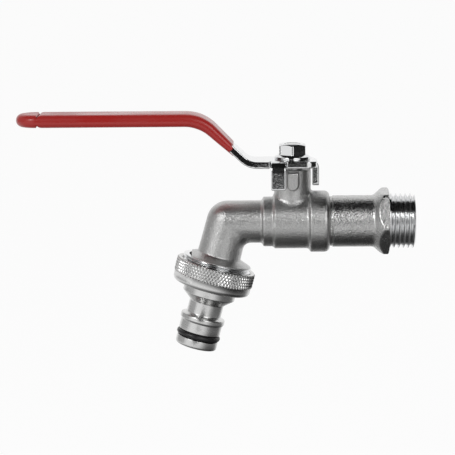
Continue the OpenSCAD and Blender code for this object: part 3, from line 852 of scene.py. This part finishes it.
def in_hexagon(start, end, across_flats, corner_at, soft, edge):
    """Changes radii between two places along the axis to stay inside a hexagon."""

    def shape(along, radius, angle):
        limit = np.broadcast_to(hexagon_radius(angle, across_flats, corner_at, soft), radius.shape)
        cut = soft_min(radius, limit, edge)
        share = ((along >= start) & (along <= end)).astype(float)
        return np.where(share > 0, np.minimum(cut, radius), radius)

    return shape


class HOSETAP_OT_tailpiece(bpy.types.Operator):
    """Build the tail pipe with its hexagon flange and wall thread"""

    bl_idname = "hosetap.tailpiece"
    bl_label = "Tail pipe and wall thread"

    def execute(self, context):
        sizes = context.scene.hose_tap_sizes
        outline = rounded([
            (-29.9, 5.1), (-29.9, 8.9, 0.3), (-22.6, 8.9), (-22.5, 9.5, 0.2), (-21.7, 9.5, 0.3), (-21.2, 9.83, 0.3),
            (-5.9, 9.83, 2.2), (-2.1, 13.31, 0.3), (-0.45, 13.31, 0.3), (0, 12.41, 0.2), (0, 10.48, 0.2),
            (10, 10.48, 1.0), (10, 7.6, 0.3), (9.8, 7.4, 0.2), (-17.6, 7.4), (-23.6, 5.1)])
        outline = refined(outline, [(-6.6, 0.1, 10, 14, 0.12), (0.05, 10, 9, 11, 0.11)])
        mesh, along, radius = turned("tailpiece", outline, 288,
                                     in_hexagon(-7, 0.01, 23.4, math.radians(-85.0), 0.012, 0.45))
        add_mask(mesh, "relief", zone_mask(along, radius, 0.25, 10.3, 9.2, 10.6, 0.7))
        mesh = shape_mesh(mesh, helical_relief_tree(),
                          {"Lead": sizes.pipe_pitch / MM, "Depth": 1.16, "Crest": 0.88, "Root": 0.14,
                           "Material": tail_material()})
        piece = place("tailpiece", tidy(mesh, 60), tail_material(), AT_INLET)
        piece.data.materials.append(bright_material())
        for face in piece.data.polygons:
            place_x, radius_now = face.center.x / MM, math.hypot(face.center.y, face.center.z) / MM
            face.material_index = 1 if place_x > 0.02 and radius_now > 9 else 0
        finish_piece(piece, "tap_body", "plated_casting", "inlet_tailpiece")
        return {"FINISHED"}


# ---------------------------------------------------------------- the lever

PLATE_MID = 22.6
PLATE_T = 2.6
HUB_RUN = 13.4
LOW_R = 8.0
HIGH_R = 15.0
SLOPE = math.radians(43)
RISE = 16.9
REACH = 104.7
SLOPE_LEN = (RISE - (LOW_R + HIGH_R) * (1 - math.cos(SLOPE))) / math.sin(SLOPE)
SLOPE_FROM = HUB_RUN + LOW_R * math.sin(SLOPE)
FLAT_FROM = SLOPE_FROM + SLOPE_LEN * math.cos(SLOPE) + HIGH_R * math.sin(SLOPE)
HIGH_LINE = HUB_RUN + LOW_R * SLOPE + SLOPE_LEN
TIP_RUN = HIGH_LINE + HIGH_R * SLOPE + REACH - FLAT_FROM
MOUTH_RUN = HUB_RUN + LOW_R * SLOPE + (22.2 - SLOPE_FROM) / math.cos(SLOPE)


def plate_plan(x, y):
    """Distance in plan to the lever's flat blank, with its two tabs straight."""
    run = -x
    half = np.interp(run, [10, 34.6], [9.0, 6.7])
    strip_end = TIP_RUN - 2.2
    strip = np.maximum(np.abs(y) - half, np.maximum(run - (strip_end - 6.7), -9.3 - run))
    hub = box_distance(x, y, (-10 + 4, -9 + 4), (9.3 - 4, 9 - 4)) - 4
    strip = np.maximum(strip, -5.3 - run)
    tip = np.hypot(run - (strip_end - 6.7), y) - 6.7
    plan = np.minimum(np.minimum(strip, tip), hub)
    front_notch = box_distance(x, y, (-8.6, -12), (-2.1, -6.25))
    end_notch = box_distance(x, y, (6.25, 1.9), (12, 9.1))
    plan = np.maximum(plan, -np.minimum(front_notch, end_notch))
    front = box_distance(x, y, (-8.2 + 0.6, -17.2 + 0.6), (-2.5 - 0.6, 0)) - 0.6
    end = box_distance(x, y, (0, 2.3 + 0.6), (17.0 - 0.6, 8.7 - 0.6)) - 0.6
    plan = np.minimum(plan, np.minimum(front, end))
    hole = np.maximum(np.hypot(x, y) - 4.05, np.abs(x) - 3.05)
    return np.maximum(plan, -hole)


def plate_distance(edge):
    return lambda x, y, z: rounded_slab(plate_plan(x, y), np.abs(z) - PLATE_T / 2, edge)


def bend_lever(mesh, material):
    """The two long bends, the far one first, as the press makes them on a flat blank."""
    return shape_mesh(mesh, press_bend_tree(),
                      {"Zone": "strip", "Direction": (-1, 0, 0), "Line": HIGH_LINE, "Radius": HIGH_R, "Angle": -SLOPE,
                       "Material": material},
                      {"Zone": "strip", "Direction": (-1, 0, 0), "Line": HUB_RUN, "Radius": LOW_R, "Angle": SLOPE,
                       "Material": material})


def mesh_points(mesh):
    points = np.empty(len(mesh.vertices) * 3, dtype=np.float32)
    mesh.vertices.foreach_get("co", points)
    return points.reshape(-1, 3)


class HOSETAP_OT_lever(bpy.types.Operator):
    """Press the lever plate from its flat blank"""

    bl_idname = "hosetap.lever"
    bl_label = "Lever plate"

    def execute(self, context):
        edge = context.scene.hose_tap_sizes.lever_edge / MM
        step = 0.3
        mesh = skin("lever_plate", plate_distance(edge), (-TIP_RUN, -17.3, -1.3), (17.1, 9.1, 1.3), step)
        x, y, _ = mesh_points(mesh).T
        add_mask(mesh, "strip", (x < 0).astype(float))
        add_mask(mesh, "front_tab", ((y < -6.2) & (x > -8.45) & (x < -2.25)).astype(float))
        add_mask(mesh, "end_tab", ((x > 6.2) & (y > 2.05) & (y < 8.95)).astype(float))
        material = bright_material()
        mesh = bend_lever(mesh, material)
        tab = {"Line": 6.25, "Radius": 2.7, "Angle": -math.pi / 2, "Material": material}
        mesh = shape_mesh(mesh, press_bend_tree(), {**tab, "Zone": "front_tab", "Direction": (0, -1, 0)},
                          {**tab, "Zone": "end_tab", "Direction": (1, 0, 0)})
        plate = place("lever_plate", tidy(mesh), material, AT_STEM @ Matrix.Translation((0, 0, PLATE_MID)))
        finish_piece(plate, "lever_set", "bright_plate", "lever")
        return {"FINISHED"}


def sleeve_distance(mouth_t, tip_t):
    inner = plate_distance(0.3)

    def distance(x, y, z):
        run = -x
        share = np.clip((run - MOUTH_RUN) / (TIP_RUN - MOUTH_RUN), 0, 1)
        thick = mouth_t + (tip_t - mouth_t) * np.clip(share * 5, 0, 1) ** 0.8
        half = np.maximum(8.0, np.interp(run, [10, 34.6], [9.0, 6.7]) + 0.3)
        plan = np.maximum(np.abs(y) - half, run - (TIP_RUN - 8))
        plan = np.where(run > TIP_RUN - 8, np.hypot(run - (TIP_RUN - 8), y) - 8, plan)
        edge = thick / 2 - 0.12
        outside = rounded_slab(plan, np.abs(z) - thick / 2, edge)
        mouth = (MOUTH_RUN + z * math.tan(SLOPE) - run) * math.cos(SLOPE)
        shell = -soft_min(-outside, -mouth, 0.5)
        return np.maximum(shell, 0.03 - inner(x, y, z))

    return distance


class HOSETAP_OT_grip(bpy.types.Operator):
    """Build the dipped grip sleeve over the lever"""

    bl_idname = "hosetap.grip"
    bl_label = "Grip sleeve"

    def execute(self, context):
        sizes = context.scene.hose_tap_sizes
        step = 0.36
        shape = sleeve_distance(sizes.grip_mouth / MM, sizes.grip_tip / MM)
        mesh = skin("grip", shape, (-TIP_RUN, -8, -2.5), (-MOUTH_RUN + 3, 8, 2.5), step)
        add_mask(mesh, "strip", np.ones(len(mesh.vertices)))
        material = grip_material()
        mesh = bend_lever(mesh, material)
        grip = place("grip", tidy(mesh), material, AT_STEM @ Matrix.Translation((0, 0, PLATE_MID)))
        finish_piece(grip, "lever_set", "red_sleeve", "grip_sleeve")
        return {"FINISHED"}


class HOSETAP_OT_nut(bpy.types.Operator):
    """Build the flanged lever nut"""

    bl_idname = "hosetap.nut"
    bl_label = "Lever nut"

    def execute(self, context):
        base = 23.9
        outline = rounded([(base, 3.1), (base, 6.8, 0.25), (base + 1.1, 6.8, 0.35), (base + 2.0, 5.62, 0.3),
                           (base + 5.3, 5.62, 0.15), (base + 6, 4.64, 0.2), (base + 6, 3.3, 0.1), (base + 5.8, 3.1)])
        outline = refined(outline, [(base + 1.6, base + 6.1, 3.5, 6, 0.1)])
        mesh, _, _ = turned("lever_nut_bright", outline, 192,
                            in_hexagon(base + 1.5, base + 7, 10, math.radians(90), 0.006, 0.14))
        nut = place("lever_nut_bright", tidy(mesh, 40), bright_material(), AT_STEM)
        finish_piece(nut, "lever_set", "bright_plate", "lever_nut")
        return {"FINISHED"}


# ---------------------------------------------------------------- the hose connector

CONNECTOR = [
    (17, 13.9, 0.15), (17, 14.8, 0.15), (17.5, 15.3, 0.2), (22.45, 15.3), (22.75, 15.0), (26.2, 15.0, 1.8),
    (26.2, 10.1, 0.4), (29.2, 10.1, 0.5), (32.1, 6.65, 0.6), (37.15, 6.65, 0.8), (37.65, 8.55, 0.6), (39.35, 8.55, 0.35),
    (40.1, 8.0, 0.2), (43.95, 8.0, 0.25), (43.95, 6.35, 0.2), (46.45, 6.35, 0.2), (46.45, 8.0, 0.25),
    (49.8, 8.0, 0.9), (49.8, 5.15, 0.2), (49.4, 4.75, 0.2), (23.9, 4.75), (23.9, 13.27), (17.5, 13.27, 0.1)]


class HOSETAP_OT_connector(bpy.types.Operator):
    """Build the knurled hose connector and its O-ring"""

    bl_idname = "hosetap.connector"
    bl_label = "Hose connector"

    def execute(self, context):
        sizes = context.scene.hose_tap_sizes
        outline = refined(rounded(CONNECTOR), [(17.2, 22.6, 15, 16, 0.219), (17.4, 23.8, 13, 13.5, 0.25)])
        mesh, along, radius = turned("connector_body", outline, 8 * sizes.knurl_starts)
        add_mask(mesh, "knurl", zone_mask(along, radius, 17.1, 22.6, 14.9, 16, 0.4))
        add_mask(mesh, "inner_thread", zone_mask(along, radius, 17.4, 23.9, 13.2, 13.4, 0.5))
        material = turned_material()
        mesh = shape_mesh(mesh, helical_relief_tree(),
                          {"Zone": "knurl", "Starts": float(sizes.knurl_starts), "Lead": sizes.knurl_lead / MM,
                           "Depth": sizes.knurl_depth / MM, "Crest": 0.8, "Root": 0.1, "Crossing": 1.0,
                           "Material": material},
                          {"Zone": "inner_thread", "Lead": sizes.pipe_pitch / MM, "Depth": -0.7, "Crest": 0.88,
                           "Root": 0.14, "Material": material})
        body = place("connector_body", tidy(mesh, 50), material, AT_SPOUT)
        finish_piece(body, "connector", "turned_metal", "hose_connector")
        turns, around = 160, 32
        a = np.arange(around) * 2 * math.pi / around
        section = np.stack([45.2 + 1.05 * np.sin(a), 7.41 + 1.05 * np.cos(a)], axis=1)
        ring, _, _ = turned("connector_ring", section, turns)
        ring = place("connector_ring", tidy(ring), rubber_material(), AT_SPOUT)
        finish_piece(ring, "connector", "black_rubber", "connector_seal")
        return {"FINISHED"}


class HOSETAP_OT_inside(bpy.types.Operator):
    """Give the ball, stem, seats, seals and washers their finishes"""

    bl_idname = "hosetap.inside"
    bl_label = "Inside pieces"

    def execute(self, context):
        finishes = {"ball": bright_material(), "stem": turned_material(), "inlet_seat": seat_material(),
                    "outlet_seat": seat_material(), "thrust_washer": seat_material(),
                    "lower_stem_seal": rubber_material(), "upper_stem_seal": rubber_material(),
                    "outlet_washer": rubber_material()}
        for node, material in finishes.items():
            for slot in frame["nodes"][node].material_slots:
                slot.material = material
        return {"FINISHED"}


# ---------------------------------------------------------------- the stage


def white_to_eye(tree, matt_colour, matt_strength):
    """Full white to the camera, mirror and glass rays, and a plain level to the rest."""
    path = tree.nodes.new("ShaderNodeLightPath").outputs
    seen = maths(tree, "MAXIMUM", path["Is Camera Ray"],
                 maths(tree, "MAXIMUM", path["Is Glossy Ray"], path["Is Transmission Ray"]))
    plain = add(tree, "ShaderNodeBackground", (*matt_colour, 1), matt_strength)
    white = add(tree, "ShaderNodeBackground", (1, 1, 1, 1), 1.0)
    return add(tree, "ShaderNodeMixShader", seen, plain.outputs[0], white.outputs[0]).outputs[0]


def soft_box(name, power, size, at, aim):
    lamp = bpy.data.lights.new(name, "AREA")
    lamp.shape = "RECTANGLE"
    lamp.size, lamp.size_y = size
    lamp.energy = power
    piece = bpy.data.objects.new(name, lamp)
    piece.location = at
    piece.rotation_euler = (Vector(aim) - Vector(at)).to_track_quat("-Z", "Y").to_euler()
    bpy.context.scene.collection.objects.link(piece)
    return piece


def direction(azimuth, elevation):
    """Unit vector from the tap, with azimuth 0 at the camera and positive to its right, in degrees."""
    a, e = math.radians(azimuth), math.radians(elevation)
    return Vector((math.sin(a) * math.cos(e), -math.cos(a) * math.cos(e), math.sin(e)))


def card(name, at, aim, size, tone, soft=0.3):
    """A card with soft edges, which only mirror-like surfaces see."""
    half_x, half_y = size[0] / 2, size[1] / 2
    mesh = bpy.data.meshes.new(name)
    mesh.from_pydata([(-half_x, -half_y, 0), (half_x, -half_y, 0), (half_x, half_y, 0), (-half_x, half_y, 0)],
                     [], [(0, 1, 2, 3)])
    piece = bpy.data.objects.new(name, mesh)
    piece.location = at
    piece.rotation_euler = (Vector(aim) - Vector(at)).to_track_quat("-Z", "Y").to_euler()
    bpy.context.scene.collection.objects.link(piece)
    material = bpy.data.materials.new(name)
    material.use_nodes = True
    tree = material.node_tree
    tree.nodes.remove(tree.nodes["Principled BSDF"])
    coords = tree.nodes.new("ShaderNodeTexCoord").outputs["Object"]
    part = add(tree, "ShaderNodeSeparateXYZ", coords).outputs
    fade_x = spread(tree, maths(tree, "ABSOLUTE", part[0]), half_x * (1 - soft), half_x, 1.0, 0.0)
    fade_y = spread(tree, maths(tree, "ABSOLUTE", part[1]), half_y * (1 - soft), half_y, 1.0, 0.0)
    face = add(tree, "ShaderNodeEmission", (tone, tone, tone, 1), 1.0)
    clear = tree.nodes.new("ShaderNodeBsdfTransparent")
    mixed = add(tree, "ShaderNodeMixShader", maths(tree, "MULTIPLY", fade_x, fade_y), clear.outputs[0], face.outputs[0])
    tree.links.new(mixed.outputs[0], tree.nodes["Material Output"].inputs["Surface"])
    mesh.materials.append(material)
    piece.visible_camera = False
    piece.visible_diffuse = False
    piece.visible_shadow = False


class HOSETAP_OT_stage(bpy.types.Operator):
    """Set up the floor, the soft light and the camera"""

    bl_idname = "hosetap.stage"
    bl_label = "Stage"

    def execute(self, context):
        scene = context.scene
        stage, colours = scene.hose_tap_stage, scene.hose_tap_colours
        scene.view_settings.view_transform = "Standard"
        world = bpy.data.worlds.new("studio")
        world.use_nodes = True
        tree = world.node_tree
        for node in list(tree.nodes):
            tree.nodes.remove(node)
        output = tree.nodes.new("ShaderNodeOutputWorld")
        tree.links.new(white_to_eye(tree, (1, 1, 1), stage.room), output.inputs["Surface"])
        scene.world = world

        floor_z = -0.14
        mesh = bpy.data.meshes.new("floor")
        mesh.from_pydata([(-6, -6, floor_z), (6, -6, floor_z), (6, 6, floor_z), (-6, 6, floor_z)], [], [(0, 1, 2, 3)])
        floor = bpy.data.objects.new("floor", mesh)
        scene.collection.objects.link(floor)
        material = bpy.data.materials.new("floor_paper")
        material.use_nodes = True
        tree = material.node_tree
        shader = tree.nodes["Principled BSDF"]
        shader.inputs["Base Color"].default_value = (*colours.floor, 1)
        shader.inputs["Roughness"].default_value = 0.9
        shader.inputs["Specular IOR Level"].default_value = 0.1
        path = tree.nodes.new("ShaderNodeLightPath").outputs
        white = add(tree, "ShaderNodeEmission", (1, 1, 1, 1), 1.0)
        seen = maths(tree, "MAXIMUM", path["Is Camera Ray"],
                     maths(tree, "MAXIMUM", path["Is Glossy Ray"], path["Is Transmission Ray"]))
        mixed = add(tree, "ShaderNodeMixShader", maths(tree, "MULTIPLY", seen, 0.9), shader.outputs[0], white.outputs[0])
        tree.links.new(mixed.outputs[0], tree.nodes["Material Output"].inputs["Surface"])
        mesh.materials.append(material)

        middle = Vector((-0.045, 0, 0))
        soft_box("key_box", stage.key, (0.26, 0.22), middle + direction(-38, 31) * 1.0, middle)
        soft_box("fill_box", stage.fill, (0.5, 0.5), middle + direction(24, 28) * 1.1, middle)
        card("ceiling_card", middle + direction(0, 82) * 0.6, middle, (2.0, 0.86), 0.01, 0.15)
        card("front_card", middle + direction(-7, 18) * 0.7, middle, (0.46, 1.1), 0.015, 0.2)
        card("right_card", middle + direction(86, 14) * 0.7, middle, (1.17, 0.74), 0.012, 0.12)
        card("left_card", middle + direction(-100, 15) * 0.8, middle, (1.3, 1.0), 0.45, 0.3)
        card("low_card", (0.15, 0.0, -0.136), (0.15, 0.0, 0), (1.4, 0.56), 0.02, 0.85)
        card("low_right_card", (0.45, -0.15, -0.134), (0.45, -0.15, 0), (0.9, 0.7), 0.22, 0.4)

        aim = Vector((-61.4306, 0, -2.2585)) * MM
        yaw, height, roll = stage.azimuth, stage.elevation, stage.roll
        ahead = Vector((math.sin(yaw) * math.cos(height), math.cos(yaw) * math.cos(height), -math.sin(height)))
        right = ahead.cross(Vector((0, 0, 1))).normalized()
        up = right.cross(ahead)
        image_right = math.cos(roll) * right - math.sin(roll) * up
        image_up = math.sin(roll) * right + math.cos(roll) * up
        camera = bpy.data.objects.new("camera", bpy.data.cameras.new("camera"))
        camera.matrix_world = Matrix((image_right, image_up, -ahead)).transposed().to_4x4()
        camera.location = aim - ahead * stage.distance
        camera.data.sensor_width = 36
        camera.data.lens = stage.lens
        camera.data.clip_end = 20
        scene.collection.objects.link(camera)
        scene.camera = camera
        return {"FINISHED"}


class HOSETAP_PT_panel(bpy.types.Panel):
    """The hose tap's builders, sizes and colours"""

    bl_label = "Hose Tap"
    bl_idname = "HOSETAP_PT_panel"
    bl_space_type = "VIEW_3D"
    bl_region_type = "UI"
    bl_category = "Hose Tap"

    def draw(self, context):
        scene = context.scene
        for group in (scene.hose_tap_sizes, scene.hose_tap_colours, scene.hose_tap_stage):
            box = self.layout.box()
            for name in group.__annotations__:
                box.prop(group, name)
        for builder in BUILDERS:
            self.layout.operator(builder.bl_idname)


BUILDERS = (HOSETAP_OT_casting, HOSETAP_OT_tailpiece, HOSETAP_OT_lever, HOSETAP_OT_grip, HOSETAP_OT_nut,
            HOSETAP_OT_connector, HOSETAP_OT_inside, HOSETAP_OT_stage)
GROUPS = {"hose_tap_sizes": HoseTapSizes, "hose_tap_colours": HoseTapColours, "hose_tap_stage": HoseTapStage}


def register():
    for name, group in GROUPS.items():
        bpy.utils.register_class(group)
        setattr(bpy.types.Scene, name, PointerProperty(type=group))
    for builder in BUILDERS:
        bpy.utils.register_class(builder)
    bpy.utils.register_class(HOSETAP_PT_panel)


def unregister():
    bpy.utils.unregister_class(HOSETAP_PT_panel)
    for builder in reversed(BUILDERS):
        bpy.utils.unregister_class(builder)
    for name, group in GROUPS.items():
        delattr(bpy.types.Scene, name)
        bpy.utils.unregister_class(group)


def main():
    register()
    bpy.ops.hosetap.casting()
    bpy.ops.hosetap.tailpiece()
    bpy.ops.hosetap.lever()
    bpy.ops.hosetap.grip()
    bpy.ops.hosetap.nut()
    bpy.ops.hosetap.connector()
    bpy.ops.hosetap.inside()
    bpy.ops.hosetap.stage()


if __name__ == "__main__":
    main()
